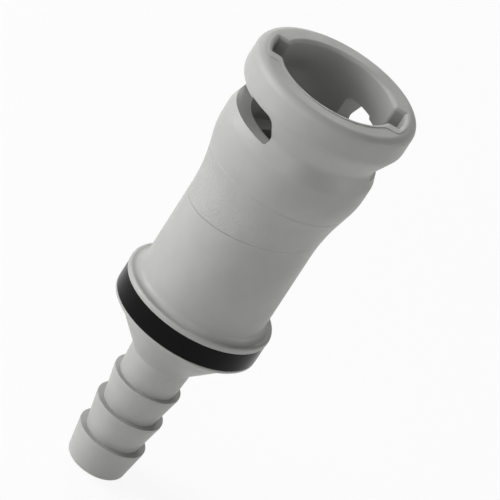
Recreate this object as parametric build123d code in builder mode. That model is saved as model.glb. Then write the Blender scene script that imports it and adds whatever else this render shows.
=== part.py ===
"""Quick disconnect coupling body with a twist lock socket, a sprung shut-off valve and a hose barb tail.

The flow axis is +Z: the barb's end face lies on Z = 0 and the socket opens upwards.
The two keyways lie along +X and -X. All sizes are in millimetres.
Radii are stacked outwards from the valve's stem and heights upwards from the barb's end face.
"""
import os
from math import cos, hypot, radians, sin, sqrt

from build123d import *

# Hose barb tail
barb_count = 3
barb_pitch = 5.45
first_crest_height = 5.75
tail_bore_radius = 3.3
barb_wall = 1.12
barb_crest_depth = 1.03
barb_crest_land = 0.35
barb_tip_step = 0.18
barb_tip_round = 0.95
neck_step = 0.23
neck_taper = 0.36
neck_length = 4.75
tail_dome_length = 6.7
tail_dome_round = 0.7
tail_dome_step = 0.85
tail_flange_step = 0.1
tail_flange_edge = 0.7
tail_flange_chamfer = 0.35

# Colour ring, clamped between the two flanges
ring_height = 3.5
ring_land = 1.4
ring_step = 0.07
ring_edge_round = 0.2

# Coupling body, outside
body_wall = 2.15
body_flange_width = 1.7
body_flange_thickness = 0.8
body_flange_round = 0.35
body_root_fillet = 0.9
body_length = 19.5
flare_length = 7.3
flare_blend = 30.0
shoulder_width = 0.97
shoulder_length = 3.6
shoulder_lower_blend = 12.0
shoulder_upper_blend = 1.9
waist_drop = 2.9
waist_rise = 4.0
waist_blend = 1.4
rim_width = 2.07
rim_length = 4.3
rim_lower_blend = 2.2
rim_outer_round = 1.3

# Raised bead round the mouth, with a pad at each keyway
bead_height = 0.1
bead_land = 0.2
pad_width = 9.2
pad_land = 0.3
pad_corner_round = 0.8
pad_blend = 1.5
mouth_round = 0.55

# Socket with its twist lock track
socket_step = 2.5
socket_depth = 14.6
socket_wall = 1.95
keyway_depth = 1.7
keyway_width = 5.3
keyway_corner_round = 0.65
track_roof_depth = 5.1
track_height = 4.6
track_exit_angle = 67.2
track_pull_angle = 38.5
track_roof_round = 0.95
track_floor_round = 0.4
track_cutter_reach = 3.5
lock_bump_angle = 33.0
lock_bump_width = 3.6
lock_bump_depth = 0.38

# Bore that takes the mating nose, and the valve's seat under it
nose_bore_length = 9.9
nose_step = 0.6
nose_seal_depth = 4.4
nose_seal_section = 0.8
nose_seal_squeeze = 0.17
seat_width = 2.0
seat_land = 1.1

# Plug that closes the valve chamber, moulded on the tail
plug_wall = 2.22
plug_clearance = 0.08
plug_top_gap = 0.41
plug_lead_in = 0.6
pilot_clearance = 0.1
bore_flare_rise = 2.2
guide_seat_rise = 2.1
guide_seat_ledge = 0.9
plug_seal_drop = 4.8
plug_seal_section = 0.53
snap_bead_drop = 1.8
snap_bead_depth = 0.22
snap_bead_width = 0.9

# Seals in their glands
seal_clearance = 0.02
seal_groove_slack = 0.25

# Valve
valve_travel = 3.2
stem_radius = 1.5
stem_tail = 0.99
stem_tip_chamfer = 0.5
spring_boss_gap = 0.45
spring_boss_length = 1.1
poppet_head_gap = 1.1
poppet_head_thickness = 2.05
poppet_head_round = 0.4
poppet_seal_section = 0.7
poppet_seal_gap = 0.05
poppet_pilot_gap = 0.75
poppet_lip_gap = 0.4
poppet_lip_clearance = 0.1
poppet_lip_rise = 0.4
poppet_nose_length = 2.3
poppet_nose_taper = 3.0
poppet_nose_round = 0.8

# Spring and its guide
spring_wire_radius = 0.35
spring_wire_sides = 8
spring_turns = 5
spring_end_clearance = 0.03
stem_clearance = 0.06
guide_hub_wall = 0.94
guide_hub_gap = 0.85
guide_hub_height = 2.9
guide_ring_gap = 0.35
guide_ring_width = 1.25
guide_ring_height = 1.5
guide_clearance = 0.05
guide_spokes = 3
guide_spoke_width = 1.2

# Radii that follow, from the stem outwards
stem_hole_radius = stem_radius + stem_clearance
guide_hub_radius = stem_hole_radius + guide_hub_wall
spring_inner_radius = guide_hub_radius + guide_hub_gap
spring_mean_radius = spring_inner_radius + spring_wire_radius
guide_ring_inner_radius = spring_mean_radius + spring_wire_radius + guide_ring_gap
guide_radius = guide_ring_inner_radius + guide_ring_width
plug_cavity_radius = guide_radius + guide_clearance
plug_radius = plug_cavity_radius + plug_wall
chamber_radius = plug_radius + plug_clearance
body_radius = chamber_radius + body_wall
body_flange_radius = body_radius + body_flange_width
tail_flange_radius = body_flange_radius - tail_flange_step
tail_dome_radius = tail_flange_radius - tail_dome_step
ring_inner_radius = chamber_radius + ring_land
ring_outer_radius = body_flange_radius - ring_step
seat_edge_radius = chamber_radius - seat_width
nose_bore_radius = seat_edge_radius + nose_step
socket_radius = nose_bore_radius + socket_step
keyway_outer_radius = socket_radius + keyway_depth
bead_radius = socket_radius + mouth_round + bead_land
pad_outer_radius = keyway_outer_radius + mouth_round + pad_land
waist_radius = socket_radius + socket_wall
shoulder_radius = waist_radius + shoulder_width
rim_radius = waist_radius + rim_width
barb_root_radius = tail_bore_radius + barb_wall
barb_crest_radius = barb_root_radius + barb_crest_depth
barb_tip_radius = barb_root_radius + barb_tip_step
neck_base_radius = barb_root_radius + neck_step
neck_top_radius = neck_base_radius + neck_taper

# Heights that follow, from the barb's end face upwards
crest_heights = [first_crest_height + barb_pitch * i for i in range(barb_count)]
neck_top_height = crest_heights[-1] + neck_length
tail_flange_height = neck_top_height + tail_dome_length
ring_seat_height = tail_flange_height + tail_flange_edge
body_base_height = ring_seat_height + ring_height
flange_top_height = body_base_height + body_flange_thickness
flare_start_height = body_base_height + body_length
flare_end_height = flare_start_height + flare_length
shoulder_top_height = flare_end_height + shoulder_length
waist_height = shoulder_top_height + waist_drop
rim_base_height = waist_height + waist_rise
rim_top_height = rim_base_height + rim_length
mouth_height = rim_top_height + bead_height
socket_floor_height = mouth_height - socket_depth
track_roof_height = mouth_height - track_roof_depth
track_floor_height = track_roof_height - track_height

# The valve hangs from its seat, and the plug ends clear of the head's travel
seat_top_height = socket_floor_height - nose_bore_length
seat_edge_height = seat_top_height - seat_land
seat_cone_height = seat_edge_height - seat_width
nose_seal_height = socket_floor_height - nose_seal_depth
poppet_pilot_radius = seat_edge_radius - poppet_pilot_gap
poppet_lip_radius = seat_edge_radius - poppet_lip_gap
poppet_seal_radius = poppet_pilot_radius + poppet_seal_section + poppet_seal_gap
poppet_seal_drop = poppet_seal_radius - seat_edge_radius + (poppet_seal_section + seal_clearance) * sqrt(2)
poppet_seal_height = seat_edge_height - poppet_seal_drop
head_top_height = poppet_seal_height - poppet_seal_section - seal_clearance
head_base_height = head_top_height - poppet_head_thickness
plug_top_height = head_base_height - valve_travel - plug_top_gap
plug_seal_height = plug_top_height - plug_seal_drop
snap_bead_height = plug_top_height - snap_bead_drop
bore_flare_height = ring_seat_height + bore_flare_rise
guide_seat_height = body_base_height + guide_seat_rise
guide_top_height = guide_seat_height + guide_ring_height
stem_base_height = guide_seat_height - stem_tail

os.makedirs("parts", exist_ok=True)


def save(piece, name):
    """Labels a finished piece and writes it as its own STEP file."""
    piece.label = name
    export_step(piece, f"parts/{name}.step")


def nearest(vertices, radius, height):
    """The vertex of a half-section that lies nearest to a radius and a height."""
    return min(vertices, key=lambda v: (v.X - radius) ** 2 + (v.Y - height) ** 2)


# Cutter of one lock track: the lug turns out of its keyway into a window that opens through the wall
pull_direction = Vector(cos(radians(track_pull_angle)), sin(radians(track_pull_angle)))
track_exit = Vector(waist_radius, 0).rotate(Axis.Z, track_exit_angle)
with BuildPart() as lock_track:
    with BuildSketch(Plane.XY.offset(track_floor_height)):
        stop_inner = track_exit - pull_direction * track_cutter_reach
        stop_outer = track_exit + pull_direction * track_cutter_reach
        with BuildLine():
            Polyline(
                (stop_inner.X, stop_inner.Y),
                (stop_outer.X, stop_outer.Y),
                (rim_radius + track_cutter_reach, stop_outer.Y),
                (rim_radius + track_cutter_reach, -keyway_width / 2),
                (stop_inner.X, -keyway_width / 2),
                close=True,
            )
        make_face()
    extrude(amount=track_height)
    stop_axis = Axis((0, 0, 0), pull_direction)
    fillet(lock_track.edges().filter_by(stop_axis).sort_by(Axis.Z)[0], track_floor_round)
    fillet(lock_track.edges().filter_by(stop_axis).sort_by(Axis.Z)[-1], track_roof_round)

    # The detent that the lug rides over stays standing from the track's roof
    bump_direction = Vector(1, 0).rotate(Axis.Z, lock_bump_angle)
    bump_plane = Plane((0, 0, track_roof_height), x_dir=bump_direction.rotate(Axis.Z, 90), z_dir=bump_direction)
    with BuildSketch(bump_plane):
        with BuildLine():
            Polyline(
                (-lock_bump_width / 2, 0),
                (-lock_bump_width / 2 + lock_bump_depth, -lock_bump_depth),
                (lock_bump_width / 2 - lock_bump_depth, -lock_bump_depth),
                (lock_bump_width / 2, 0),
                close=True,
            )
        make_face()
    extrude(amount=rim_radius + track_cutter_reach, mode=Mode.SUBTRACT)

# Coupling body
outline_corners = [
    (body_flange_radius, flange_top_height, body_flange_round),
    (body_radius, flange_top_height, body_root_fillet),
    (body_radius, flare_start_height, flare_blend),
    (shoulder_radius, flare_end_height, shoulder_lower_blend),
    (shoulder_radius, shoulder_top_height, shoulder_upper_blend),
    (waist_radius, waist_height, waist_blend),
    (rim_radius, rim_base_height, rim_lower_blend),
    (rim_radius, rim_top_height, rim_outer_round),
]
with BuildPart() as coupling_body:
    with BuildSketch(Plane.XZ) as body_section:
        with BuildLine():
            Polyline(
                (chamber_radius, body_base_height),
                (body_flange_radius, body_base_height),
                *[(radius, height) for radius, height, blend in outline_corners],
                (socket_radius, rim_top_height),
                (socket_radius, socket_floor_height),
                (nose_bore_radius, socket_floor_height),
                (nose_bore_radius, seat_top_height),
                (seat_edge_radius, seat_top_height),
                (seat_edge_radius, seat_edge_height),
                (chamber_radius, seat_cone_height),
                close=True,
            )
        make_face()
        for radius, height, blend in outline_corners:
            fillet(nearest(body_section.vertices(), radius, height), blend)
    revolve(axis=Axis.Z)

    # Bead and pads on the rim, then the mouth with its keyways, rounded at the edge
    with BuildSketch(Plane.XY.offset(rim_top_height)) as bead_plan:
        Circle(pad_outer_radius)
        Rectangle(2 * pad_outer_radius, pad_width, mode=Mode.INTERSECT)
        fillet(bead_plan.vertices(), pad_corner_round)
        Circle(bead_radius)
        bead_corners = bead_plan.vertices().sort_by(lambda v: hypot(v.X, v.Y))[:4]
        fillet(bead_corners, pad_blend)
    extrude(amount=bead_height)
    with BuildSketch(Plane.XY.offset(track_floor_height)) as mouth_plan:
        Circle(keyway_outer_radius)
        Rectangle(2 * keyway_outer_radius, keyway_width, mode=Mode.INTERSECT)
        Circle(socket_radius)
        bore_corners = mouth_plan.vertices().sort_by(lambda v: hypot(v.X, v.Y))[:4]
        fillet(bore_corners, keyway_corner_round)
    extrude(amount=mouth_height - track_floor_height, mode=Mode.SUBTRACT)
    mouth_face = coupling_body.faces().sort_by(Axis.Z)[-1]
    fillet(mouth_face.inner_wires()[0].edges(), mouth_round)

    # Gland of the nose seal and groove for the tail's snap bead
    with BuildSketch(Plane.XZ):
        nose_gland_radius = nose_bore_radius - nose_seal_squeeze + 2 * nose_seal_section + seal_clearance
        nose_gland_width = 2 * nose_seal_section + seal_groove_slack
        with Locations((0, nose_seal_height)):
            Rectangle(nose_gland_radius, nose_gland_width, align=(Align.MIN, Align.CENTER))
        with Locations((0, snap_bead_height)):
            Rectangle(
                chamber_radius + snap_bead_depth,
                snap_bead_width + seal_groove_slack,
                align=(Align.MIN, Align.CENTER),
            )
    revolve(axis=Axis.Z, mode=Mode.SUBTRACT)

    with PolarLocations(0, 2):
        add(lock_track.part, mode=Mode.SUBTRACT)
save(coupling_body.part, "coupling_body")

# Hose barb, with the plug that closes the valve chamber
with BuildPart() as hose_barb:
    with BuildSketch(Plane.XZ) as tail_section:
        with BuildLine():
            barb_points = []
            for height in crest_heights:
                barb_points += [(barb_crest_radius, height - barb_crest_land), (barb_crest_radius, height)]
                barb_points += [(barb_root_radius, height)]
            barb_points[-1] = (neck_base_radius, crest_heights[-1])
            Polyline(
                (tail_bore_radius, 0),
                (barb_tip_radius, 0),
                *barb_points,
                (neck_top_radius, neck_top_height),
                (tail_dome_radius, tail_flange_height),
                (tail_flange_radius - tail_flange_chamfer, tail_flange_height),
                (tail_flange_radius, tail_flange_height + tail_flange_chamfer),
                (tail_flange_radius, ring_seat_height),
                (ring_inner_radius - pilot_clearance, ring_seat_height),
                (ring_inner_radius - pilot_clearance, body_base_height - pilot_clearance),
                (plug_radius, body_base_height - pilot_clearance),
                (plug_radius, plug_top_height - plug_lead_in),
                (plug_radius - plug_lead_in / 2, plug_top_height),
                (plug_cavity_radius, plug_top_height),
                (plug_cavity_radius, guide_seat_height),
                (plug_cavity_radius - guide_seat_ledge, guide_seat_height),
                (tail_bore_radius, bore_flare_height),
                close=True,
            )
        make_face()
        fillet(nearest(tail_section.vertices(), barb_tip_radius, 0), barb_tip_round)
        fillet(nearest(tail_section.vertices(), neck_top_radius, neck_top_height), tail_dome_round)
    revolve(axis=Axis.Z)

    # Snap bead that locks the plug into the chamber
    with BuildSketch(Plane.XZ):
        with Locations((plug_radius - snap_bead_depth, snap_bead_height)):
            Ellipse(2 * snap_bead_depth, snap_bead_width / 2)
    revolve(axis=Axis.Z)

    # Gland of the plug seal
    with BuildSketch(Plane.XZ):
        plug_gland_depth = 2 * (plug_seal_section + seal_clearance) - plug_clearance
        with Locations((plug_radius - plug_gland_depth, plug_seal_height)):
            Rectangle(plug_wall, 2 * (plug_seal_section + seal_groove_slack), align=(Align.MIN, Align.CENTER))
    revolve(axis=Axis.Z, mode=Mode.SUBTRACT)
save(hose_barb.part, "hose_barb")

# Colour ring
with BuildPart() as id_ring:
    with BuildSketch(Plane.XZ) as ring_section:
        with Locations((ring_inner_radius, ring_seat_height)):
            Rectangle(ring_outer_radius - ring_inner_radius, ring_height, align=Align.MIN)
        fillet(ring_section.vertices().group_by(Axis.X)[-1], ring_edge_round)
    revolve(axis=Axis.Z)
save(id_ring.part, "id_ring")

# Valve poppet: stem, spring boss, head, seal groove and flow nose
with BuildPart() as valve_poppet:
    with BuildSketch(Plane.XZ) as poppet_section:
        boss_radius = spring_inner_radius - spring_boss_gap
        boss_base_height = head_base_height - spring_boss_length
        lip_base_height = poppet_seal_height + poppet_seal_section + poppet_lip_clearance
        lip_top_height = seat_edge_height + poppet_lip_rise
        nose_radius = poppet_lip_radius - poppet_nose_taper
        nose_top_height = lip_top_height + poppet_nose_length
        with BuildLine():
            Polyline(
                (0, stem_base_height),
                (stem_radius, stem_base_height),
                (stem_radius, boss_base_height),
                (boss_radius, boss_base_height),
                (boss_radius, head_base_height),
                (chamber_radius - poppet_head_gap, head_base_height),
                (chamber_radius - poppet_head_gap, head_top_height),
                (poppet_pilot_radius, head_top_height),
                (poppet_pilot_radius, lip_base_height),
                (poppet_lip_radius, lip_base_height),
                (poppet_lip_radius, lip_top_height),
                (nose_radius, nose_top_height),
                (0, nose_top_height),
                close=True,
            )
        make_face()
        head_corner = nearest(poppet_section.vertices(), chamber_radius - poppet_head_gap, head_base_height)
        fillet(head_corner, poppet_head_round)
        fillet(nearest(poppet_section.vertices(), nose_radius, nose_top_height), poppet_nose_round)
        chamfer(nearest(poppet_section.vertices(), stem_radius, stem_base_height), stem_tip_chamfer)
    revolve(axis=Axis.Z)
save(valve_poppet.part, "valve_poppet")


def seal_ring(major_radius, height, section):
    """An O-ring lying flat, centred on the flow axis."""
    with BuildPart() as seal:
        with BuildSketch(Plane.XZ):
            with Locations((major_radius, height)):
                Circle(section)
        revolve(axis=Axis.Z)
    return seal.part


nose_seal_radius = nose_bore_radius - nose_seal_squeeze + nose_seal_section
plug_seal_radius = chamber_radius - plug_seal_section - seal_clearance
save(seal_ring(poppet_seal_radius, poppet_seal_height, poppet_seal_section), "poppet_seal")
save(seal_ring(nose_seal_radius, nose_seal_height, nose_seal_section), "nose_seal")
save(seal_ring(plug_seal_radius, plug_seal_height, plug_seal_section), "plug_seal")

# Spring, between its guide and the poppet's head. Flats stand for the round wire and keep its facets few.
spring_foot = guide_top_height + spring_wire_radius + spring_end_clearance
spring_length = head_base_height - spring_wire_radius - spring_end_clearance - spring_foot
with BuildPart() as valve_spring:
    with BuildLine() as coil:
        Helix(spring_length / spring_turns, spring_length, spring_mean_radius, center=(0, 0, spring_foot))
    with BuildSketch(Plane(origin=coil.line @ 0, z_dir=coil.line % 0)):
        RegularPolygon(spring_wire_radius, spring_wire_sides)
    sweep(is_frenet=True)
save(valve_spring.part, "valve_spring")

# Spring guide: a ring on spokes with a hub for the stem
with BuildPart() as spring_guide:
    guide_base = Plane.XY.offset(guide_seat_height)
    with BuildSketch(guide_base):
        Circle(guide_radius)
        Circle(guide_ring_inner_radius, mode=Mode.SUBTRACT)
        with PolarLocations(0, guide_spokes):
            spoke_length = guide_ring_inner_radius + guide_ring_width / 2
            Rectangle(spoke_length, guide_spoke_width, align=(Align.MIN, Align.CENTER))
    extrude(amount=guide_ring_height)
    with BuildSketch(guide_base):
        Circle(guide_hub_radius)
    extrude(amount=guide_hub_height)
    with BuildSketch(guide_base):
        Circle(stem_hole_radius)
    extrude(amount=guide_hub_height, mode=Mode.SUBTRACT)
save(spring_guide.part, "spring_guide")
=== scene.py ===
import math

import bpy
from mathutils import Matrix, Vector


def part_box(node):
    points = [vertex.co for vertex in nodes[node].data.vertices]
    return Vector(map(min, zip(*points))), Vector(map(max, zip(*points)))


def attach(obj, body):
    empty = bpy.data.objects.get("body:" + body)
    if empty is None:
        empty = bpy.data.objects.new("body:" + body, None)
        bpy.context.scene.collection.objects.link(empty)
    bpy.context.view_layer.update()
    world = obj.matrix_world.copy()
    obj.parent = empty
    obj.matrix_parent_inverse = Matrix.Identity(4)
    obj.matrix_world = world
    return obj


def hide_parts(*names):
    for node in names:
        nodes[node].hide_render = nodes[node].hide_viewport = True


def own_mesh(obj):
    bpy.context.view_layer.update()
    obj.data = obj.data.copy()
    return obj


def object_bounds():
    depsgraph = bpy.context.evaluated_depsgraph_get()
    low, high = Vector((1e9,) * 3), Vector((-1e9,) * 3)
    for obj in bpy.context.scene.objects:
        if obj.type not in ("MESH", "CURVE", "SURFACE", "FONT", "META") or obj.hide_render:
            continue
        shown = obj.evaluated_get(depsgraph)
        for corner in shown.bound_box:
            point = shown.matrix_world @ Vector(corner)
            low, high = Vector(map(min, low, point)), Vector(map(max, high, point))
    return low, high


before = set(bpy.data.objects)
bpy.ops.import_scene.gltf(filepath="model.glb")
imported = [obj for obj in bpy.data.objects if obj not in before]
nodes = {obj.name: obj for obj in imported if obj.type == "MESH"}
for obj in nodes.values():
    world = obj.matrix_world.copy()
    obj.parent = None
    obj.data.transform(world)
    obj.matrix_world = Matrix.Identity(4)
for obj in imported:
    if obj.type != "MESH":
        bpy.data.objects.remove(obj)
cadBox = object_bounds()

# lengths are in metres and angles in degrees throughout
white = (1.0, 1.0, 1.0, 1.0)

# how far a noise pattern's values are spread before they drive anything
noiseLow, noiseHigh = 0.35, 0.65
# how well a softened normal agrees with the face: at a sharp turn, and on an open face
agreeSharp, agreeOpen = 0.80, 0.995
bevelSamples = 6
cloudDetail, grainDetail = 4.0, 2.0


def srgb(level):
    return level / 12.92 if level <= 0.04045 else ((level + 0.055) / 1.055) ** 2.4


def grey(level, warmth=0.0):
    # warmth takes a little blue out
    return (srgb(level), srgb(level), srgb(level - warmth), 1.0)


def addNode(tree, kind, **settings):
    node = tree.nodes.new(kind)
    for name, value in settings.items():
        setattr(node, name, value)
    return node


def noise(tree, scale, detail=cloudDetail, stretch=(1.0, 1.0, 1.0)):
    place = addNode(tree, "ShaderNodeTexCoord")
    mapping = addNode(tree, "ShaderNodeMapping")
    mapping.inputs["Scale"].default_value = stretch
    pattern = addNode(tree, "ShaderNodeTexNoise")
    pattern.inputs["Scale"].default_value = scale
    pattern.inputs["Detail"].default_value = detail
    tree.links.new(place.outputs["Object"], mapping.inputs["Vector"])
    tree.links.new(mapping.outputs["Vector"], pattern.inputs["Vector"])
    return pattern.outputs["Fac"]


def ramp(tree, source, low, high, fromLevel=noiseLow, toLevel=noiseHigh):
    node = addNode(tree, "ShaderNodeMapRange")
    node.inputs["From Min"].default_value = fromLevel
    node.inputs["From Max"].default_value = toLevel
    node.inputs["To Min"].default_value = low
    node.inputs["To Max"].default_value = high
    tree.links.new(source, node.inputs["Value"])
    return node.outputs["Result"]


def mixColours(tree, factor, first, second):
    node = addNode(tree, "ShaderNodeMix", data_type="RGBA")
    node.inputs["B"].default_value = second
    if isinstance(first, bpy.types.NodeSocket):
        tree.links.new(first, node.inputs["A"])
    else:
        node.inputs["A"].default_value = first
    tree.links.new(factor, node.inputs["Factor"])
    return node.outputs["Result"]


def calculate(tree, operation, first, second):
    node = addNode(tree, "ShaderNodeMath", operation=operation)
    for socket, value in zip(node.inputs, (first, second)):
        if isinstance(value, bpy.types.NodeSocket):
            tree.links.new(value, socket)
        else:
            socket.default_value = value
    return node.outputs["Value"]


def onPatch(tree, patch):
    # one on the textured patch on the front of the body, nought elsewhere
    place = addNode(tree, "ShaderNodeTexCoord")
    parts = addNode(tree, "ShaderNodeSeparateXYZ")
    tree.links.new(place.outputs["Object"], parts.inputs["Vector"])
    across, depth, height = (parts.outputs[axis] for axis in "XYZ")
    edge, fade = patch["edgeWidth"] / 2, patch["fade"]
    low, high, back = patch["low"], patch["high"], patch["back"]
    rise = calculate(tree, "MULTIPLY", across, patch["lean"])
    leaning = calculate(tree, "SUBTRACT", height, rise)
    above = ramp(tree, leaning, 0.0, 1.0, low - edge, low + edge)
    below = ramp(tree, height, 1.0, 0.0, high - fade, high + fade)
    front = ramp(tree, depth, 1.0, 0.0, back - edge, back + edge)
    return calculate(tree, "MULTIPLY", calculate(tree, "MULTIPLY", above, below), front)


def softEdges(tree, radius):
    # moulded edges are never dead sharp: this rounds how they catch the light
    node = addNode(tree, "ShaderNodeBevel", samples=bevelSamples)
    node.inputs["Radius"].default_value = radius
    return node.outputs["Normal"]


def edgeMask(tree, radius):
    # one where a surface turns sharply, nought on open faces
    rounded = softEdges(tree, radius)
    plain = addNode(tree, "ShaderNodeNewGeometry")
    agreement = addNode(tree, "ShaderNodeVectorMath", operation="DOT_PRODUCT")
    tree.links.new(rounded, agreement.inputs[0])
    tree.links.new(plain.outputs["Normal"], agreement.inputs[1])
    return ramp(tree, agreement.outputs["Value"], 1.0, 0.0, agreeSharp, agreeOpen)


def mouldedPlastic(name, look):
    material = bpy.data.materials.new(name)
    material.use_nodes = True
    tree = material.node_tree
    shader = tree.nodes["Principled BSDF"]
    clouds = noise(tree, look["cloudScale"])
    grain = noise(tree, look["grainScale"], detail=grainDetail)
    tint = mixColours(tree, ramp(tree, clouds, 0.0, 1.0), look["light"], look["dark"])
    if "rubbed" in look:
        patches = ramp(tree, noise(tree, look["wearScale"]), 0.0, look["wearAmount"])
        wear = calculate(tree, "MULTIPLY", edgeMask(tree, look["wearWidth"]), patches)
        tint = mixColours(tree, wear, tint, look["rubbed"])
    tree.links.new(tint, shader.inputs["Base Color"])
    rough = ramp(tree, clouds, look["roughnessLow"], look["roughnessHigh"])
    tree.links.new(rough, shader.inputs["Roughness"])
    shader.inputs["Specular IOR Level"].default_value = look["gloss"]
    rounded = softEdges(tree, look["edgeRound"])
    if "patch" in look:
        patch = look["patch"]
        mottle = ramp(tree, noise(tree, patch["mottleScale"]), 1.0 - patch["mottle"], 1.0)
        step = addNode(tree, "ShaderNodeBump")
        step.inputs["Distance"].default_value = patch["depth"]
        raised = calculate(tree, "MULTIPLY", onPatch(tree, patch), mottle)
        tree.links.new(raised, step.inputs["Height"])
        tree.links.new(rounded, step.inputs["Normal"])
        rounded = step.outputs["Normal"]
    relief = addNode(tree, "ShaderNodeBump")
    relief.inputs["Strength"].default_value = look["grainStrength"]
    relief.inputs["Distance"].default_value = look["grainDepth"]
    tree.links.new(grain, relief.inputs["Height"])
    tree.links.new(rounded, relief.inputs["Normal"])
    tree.links.new(relief.outputs["Normal"], shader.inputs["Normal"])
    return material


def dress(node, material):
    mesh = nodes[node].data
    mesh.materials.clear()
    mesh.materials.append(material)


housingLook = {
    "light": grey(0.615, 0.006),
    "dark": grey(0.595, 0.007),
    "cloudScale": 160.0,
    "roughnessLow": 0.38,
    "roughnessHigh": 0.48,
    "gloss": 0.25,
    "grainScale": 4200.0,
    "grainStrength": 0.12,
    "grainDepth": 0.00001,
    "edgeRound": 0.00008,
    "rubbed": grey(0.72, 0.005),
    "wearWidth": 0.00022,
    "wearScale": 700.0,
    "wearAmount": 0.5,
}
bodyLook = dict(housingLook)
bodyLook["patch"] = {
    "low": 0.0492,
    "high": 0.0566,
    "lean": 0.17,  # how far the lower edge rises along x
    "back": -0.0030,  # the patch ends here on its way round the body
    "edgeWidth": 0.00014,
    "fade": 0.00018,  # half the width of the softer upper edge
    "depth": 0.00013,
    "mottleScale": 2300.0,
    "mottle": 0.28,
}
ringLook = {
    "light": grey(0.034),
    "dark": grey(0.022),
    "cloudScale": 240.0,
    "roughnessLow": 0.20,
    "roughnessHigh": 0.28,
    "gloss": 0.09,
    "grainScale": 3000.0,
    "grainStrength": 0.04,
    "grainDepth": 0.00001,
    "edgeRound": 0.00012,
}
valveLook = {
    "light": grey(0.33),
    "dark": grey(0.27),
    "cloudScale": 300.0,
    "roughnessLow": 0.42,
    "roughnessHigh": 0.55,
    "gloss": 0.5,
    "grainScale": 4200.0,
    "grainStrength": 0.12,
    "grainDepth": 0.00001,
    "edgeRound": 0.00012,
}
sealLook = {
    "light": grey(0.13),
    "dark": grey(0.09),
    "cloudScale": 900.0,
    "roughnessLow": 0.55,
    "roughnessHigh": 0.75,
    "gloss": 0.35,
    "grainScale": 6000.0,
    "grainStrength": 0.2,
    "grainDepth": 0.00001,
    "edgeRound": 0.00005,
}
dress("coupling_body", mouldedPlastic("bodyPlastic", bodyLook))
dress("hose_barb", mouldedPlastic("barbPlastic", housingLook))
dress("id_ring", mouldedPlastic("blackPlastic", ringLook))
valvePlastic = mouldedPlastic("valvePlastic", valveLook)
dress("valve_poppet", valvePlastic)
dress("spring_guide", valvePlastic)
rubber = mouldedPlastic("sealRubber", sealLook)
for seal in ("poppet_seal", "nose_seal", "plug_seal"):
    dress(seal, rubber)
print("materials ready")


springLook = {
    "wireRadius": 0.00035,
    "travel": 0.0032,  # how far the valve can squash it
    "turns": 6.0,
    "closedTurns": 0.9,
    "pointsPerTurn": 40,
    "wireSides": 14,
    "light": grey(0.75, 0.008),
    "dark": grey(0.62, 0.006),
    "closedPitch": 2.05,  # from one closed turn to the next, in wire radii
    "drawnScale": 1500.0,
    "drawnStretch": (1.0, 1.0, 6.0),
    "roughnessLow": 0.22,
    "roughnessHigh": 0.36,
}


def springSteel():
    material = bpy.data.materials.new("springSteel")
    material.use_nodes = True
    tree = material.node_tree
    shader = tree.nodes["Principled BSDF"]
    drawn = noise(tree, springLook["drawnScale"], stretch=springLook["drawnStretch"])
    streaks = ramp(tree, drawn, 0.0, 1.0)
    tint = mixColours(tree, streaks, springLook["light"], springLook["dark"])
    tree.links.new(tint, shader.inputs["Base Color"])
    rough = ramp(tree, drawn, springLook["roughnessLow"], springLook["roughnessHigh"])
    tree.links.new(rough, shader.inputs["Roughness"])
    shader.inputs["Metallic"].default_value = 1.0
    return material


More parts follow.
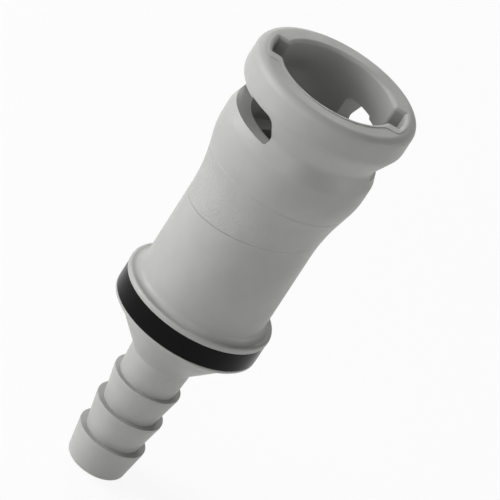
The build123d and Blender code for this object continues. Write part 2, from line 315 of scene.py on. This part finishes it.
def springTree(material):
    # a coil whose end turns lie closed, built from a line of points
    tree = bpy.data.node_groups.new("springCoil", "GeometryNodeTree")
    tree.is_modifier = True
    tree.interface.new_socket("Geometry", in_out="OUTPUT", socket_type="NodeSocketGeometry")
    for name in ("wireRadius", "coilRadius", "foot", "rise", "turns", "closedTurns", "closedPitch"):
        tree.interface.new_socket(name, in_out="INPUT", socket_type="NodeSocketFloat")
    for name in ("pointCount", "wireSides"):
        tree.interface.new_socket(name, in_out="INPUT", socket_type="NodeSocketInt")
    sizes = addNode(tree, "NodeGroupInput")
    result = addNode(tree, "NodeGroupOutput")
    link = tree.links.new

    def maths(operation, first, second):
        return calculate(tree, operation, first, second)

    def climb(value, start, end, rise):
        # the part of the rise reached by a point between the two turns given
        node = addNode(tree, "ShaderNodeMapRange")
        sources = {"Value": value, "From Min": start, "From Max": end, "To Max": rise}
        for name, source in sources.items():
            if isinstance(source, bpy.types.NodeSocket):
                link(source, node.inputs[name])
            else:
                node.inputs[name].default_value = source
        return node.outputs["Result"]

    line = addNode(tree, "GeometryNodeMeshLine")
    link(sizes.outputs["pointCount"], line.inputs["Count"])
    path = addNode(tree, "GeometryNodeMeshToCurve")
    link(line.outputs["Mesh"], path.inputs["Mesh"])
    index = addNode(tree, "GeometryNodeInputIndex")
    turns, closedTurns = sizes.outputs["turns"], sizes.outputs["closedTurns"]
    coilRadius = sizes.outputs["coilRadius"]
    last = maths("SUBTRACT", sizes.outputs["pointCount"], 1.0)
    turned = maths("MULTIPLY", maths("DIVIDE", index.outputs["Index"], last), turns)
    angle = maths("MULTIPLY", turned, math.tau)
    closedWire = maths("MULTIPLY", closedTurns, sizes.outputs["wireRadius"])
    closedRise = maths("MULTIPLY", closedWire, sizes.outputs["closedPitch"])
    openEnd = maths("SUBTRACT", turns, closedTurns)
    bothEnds = maths("ADD", closedRise, closedRise)
    openRise = maths("SUBTRACT", sizes.outputs["rise"], bothEnds)
    height = sizes.outputs["foot"]
    for start, end, rise in (
        (0.0, closedTurns, closedRise),
        (closedTurns, openEnd, openRise),
        (openEnd, turns, closedRise),
    ):
        height = maths("ADD", height, climb(turned, start, end, rise))
    place = addNode(tree, "ShaderNodeCombineXYZ")
    link(maths("MULTIPLY", maths("COSINE", angle, 0.0), coilRadius), place.inputs["X"])
    link(maths("MULTIPLY", maths("SINE", angle, 0.0), coilRadius), place.inputs["Y"])
    link(height, place.inputs["Z"])
    coil = addNode(tree, "GeometryNodeSetPosition")
    link(path.outputs["Curve"], coil.inputs["Geometry"])
    link(place.outputs["Vector"], coil.inputs["Position"])
    ring = addNode(tree, "GeometryNodeCurvePrimitiveCircle")
    link(sizes.outputs["wireSides"], ring.inputs["Resolution"])
    link(sizes.outputs["wireRadius"], ring.inputs["Radius"])
    wire = addNode(tree, "GeometryNodeCurveToMesh")
    wire.inputs["Fill Caps"].default_value = True
    link(coil.outputs["Geometry"], wire.inputs["Curve"])
    link(ring.outputs["Curve"], wire.inputs["Profile Curve"])
    real = addNode(tree, "GeometryNodeRealizeInstances")
    link(wire.outputs["Mesh"], real.inputs["Geometry"])
    finish = addNode(tree, "GeometryNodeSetMaterial")
    finish.inputs["Material"].default_value = material
    link(real.outputs["Geometry"], finish.inputs["Geometry"])
    link(finish.outputs["Geometry"], result.inputs["Geometry"])
    return tree


def evaluated(name, tree, sizes):
    # runs the tree once and keeps its result as a plain mesh
    holder = bpy.data.objects.new(name + "Maker", bpy.data.meshes.new(name + "Maker"))
    bpy.context.scene.collection.objects.link(holder)
    modifier = holder.modifiers.new("maker", "NODES")
    modifier.node_group = tree
    for socket in tree.interface.items_tree:
        if socket.in_out == "INPUT":
            modifier[socket.identifier] = sizes[socket.name]
    ready = holder.evaluated_get(bpy.context.evaluated_depsgraph_get())
    mesh = bpy.data.meshes.new_from_object(ready)
    mesh.name = name
    bpy.data.objects.remove(holder)
    piece = bpy.data.objects.new(name, mesh)
    bpy.context.scene.collection.objects.link(piece)
    return piece


def makeSpring():
    low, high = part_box("valve_spring")
    wire = springLook["wireRadius"]
    sizes = {
        "wireRadius": wire,
        "coilRadius": (high[0] - low[0]) / 2 - wire,
        "foot": low[2] + wire,
        "rise": high[2] - low[2] - 2 * wire,
        "turns": springLook["turns"],
        "closedTurns": springLook["closedTurns"],
        "closedPitch": springLook["closedPitch"],
        "pointCount": int(springLook["turns"] * springLook["pointsPerTurn"]),
        "wireSides": springLook["wireSides"],
    }
    spring = evaluated("valveSpring", springTree(springSteel()), sizes)
    for face in spring.data.polygons:
        face.use_smooth = True
    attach(spring, "coupling")
    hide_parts("valve_spring")
    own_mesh(spring)


makeSpring()
print("spring ready")


studio = {
    "floorSize": 3.0,
    "floorShadow": 0.10,  # share of its real shading that the floor shows
    "floorTint": grey(0.96),
    "floorRoughness": 0.9,
    "ambient": 0.02,
    "backdrop": 1.0,
    "lampDistance": 0.7,
    "lampSize": 0.40,
}
lamps = {
    "lampLeftLow": {"azimuth": -92.0, "elevation": 5.0, "level": 0.66},
    "lampLeftHigh": {"azimuth": -92.0, "elevation": 30.0, "level": 0.42},
    "lampFrontLeft": {"azimuth": -65.0, "elevation": 3.0, "level": 0.50},
    "lampFront": {"azimuth": -5.0, "elevation": 6.0, "level": 0.41},
    "lampRight": {"azimuth": 92.0, "elevation": 5.0, "level": 0.40},
    "lampBack": {"azimuth": -165.0, "elevation": 30.0, "level": 0.30},
    "lampTop": {"azimuth": -60.0, "elevation": 75.0, "level": 0.19},
}
view = {
    "azimuth": -3.1,
    "elevation": 27.106,
    "roll": 32.986,  # tips the camera about its line of sight
    "distance": 0.77812,
    "lens": 386.85,
    "sensor": 36.0,
    "nearest": 0.05,
    "farthest": 10.0,
    "targetSide": 0.002271,
    "targetHeight": 0.043660,
}


def direction(azimuth, elevation):
    a, e = math.radians(azimuth), math.radians(elevation)
    return Vector((math.sin(a) * math.cos(e), -math.cos(a) * math.cos(e), math.sin(e)))


def seenDirectly(tree):
    # one for rays that show the backdrop itself: camera, glossy and transmission rays
    rays = addNode(tree, "ShaderNodeLightPath").outputs
    seen = calculate(tree, "MAXIMUM", rays["Is Camera Ray"], rays["Is Glossy Ray"])
    return calculate(tree, "MAXIMUM", seen, rays["Is Transmission Ray"])


def paleMaterial():
    material = bpy.data.materials.new("paleFloor")
    material.use_nodes = True
    tree = material.node_tree
    shader = tree.nodes["Principled BSDF"]
    shader.inputs["Base Color"].default_value = studio["floorTint"]
    shader.inputs["Roughness"].default_value = studio["floorRoughness"]
    glow = addNode(tree, "ShaderNodeEmission")
    share = calculate(tree, "MULTIPLY", seenDirectly(tree), 1.0 - studio["floorShadow"])
    blend = addNode(tree, "ShaderNodeMixShader")
    tree.links.new(share, blend.inputs["Fac"])
    tree.links.new(shader.outputs["BSDF"], blend.inputs[1])
    tree.links.new(glow.outputs["Emission"], blend.inputs[2])
    tree.links.new(blend.outputs["Shader"], tree.nodes["Material Output"].inputs["Surface"])
    return material


def makeFloor():
    half = studio["floorSize"] / 2
    mesh = bpy.data.meshes.new("floor")
    corners = [(-half, -half, 0), (half, -half, 0), (half, half, 0), (-half, half, 0)]
    mesh.from_pydata(corners, [], [(0, 1, 2, 3)])
    floor = bpy.data.objects.new("floor", mesh)
    floor.data.materials.append(paleMaterial())
    bpy.context.scene.collection.objects.link(floor)


def makeWorld():
    world = bpy.data.worlds.new("studioWorld")
    world.use_nodes = True
    tree = world.node_tree
    ambient = tree.nodes["Background"]
    ambient.inputs["Color"].default_value = white
    ambient.inputs["Strength"].default_value = studio["ambient"]
    backdrop = addNode(tree, "ShaderNodeBackground")
    backdrop.inputs["Color"].default_value = white
    backdrop.inputs["Strength"].default_value = studio["backdrop"]
    blend = addNode(tree, "ShaderNodeMixShader")
    tree.links.new(seenDirectly(tree), blend.inputs["Fac"])
    tree.links.new(ambient.outputs["Background"], blend.inputs[1])
    tree.links.new(backdrop.outputs["Background"], blend.inputs[2])
    tree.links.new(blend.outputs["Shader"], tree.nodes["World Output"].inputs["Surface"])
    bpy.context.scene.world = world


def makeLamps():
    # a level of 1 lights a face turned to the lamp so that its colour renders as written
    centre = (cadBox[0] + cadBox[1]) / 2
    distance = studio["lampDistance"]
    for name, lamp in lamps.items():
        light = bpy.data.lights.new(name, "AREA")
        light.size = studio["lampSize"]
        light.energy = lamp["level"] * (math.pi * distance) ** 2
        towards = direction(lamp["azimuth"], lamp["elevation"])
        holder = bpy.data.objects.new(name, light)
        holder.location = centre + towards * distance
        holder.rotation_euler = towards.to_track_quat("Z", "Y").to_euler()
        bpy.context.scene.collection.objects.link(holder)


def makeCamera():
    camera = bpy.data.cameras.new("camera")
    camera.lens = view["lens"]
    camera.sensor_width = view["sensor"]
    camera.clip_start = view["nearest"]
    camera.clip_end = view["farthest"]
    turn = math.radians(view["azimuth"])
    roll = math.radians(view["roll"])
    back = direction(view["azimuth"], view["elevation"])
    side = Vector((math.cos(turn), math.sin(turn), 0.0))
    up = back.cross(side)
    right = side * math.cos(roll) + up * math.sin(roll)
    top = up * math.cos(roll) - side * math.sin(roll)
    target = side * view["targetSide"] + Vector((0.0, 0.0, view["targetHeight"]))
    place = Matrix.Translation(target + back * view["distance"])
    holder = bpy.data.objects.new("camera", camera)
    holder.matrix_world = place @ Matrix((right, top, back)).transposed().to_4x4()
    bpy.context.scene.collection.objects.link(holder)
    bpy.context.scene.camera = holder


makeFloor()
makeWorld()
makeLamps()
makeCamera()
bpy.context.scene.view_settings.view_transform = "Standard"
print("studio ready")
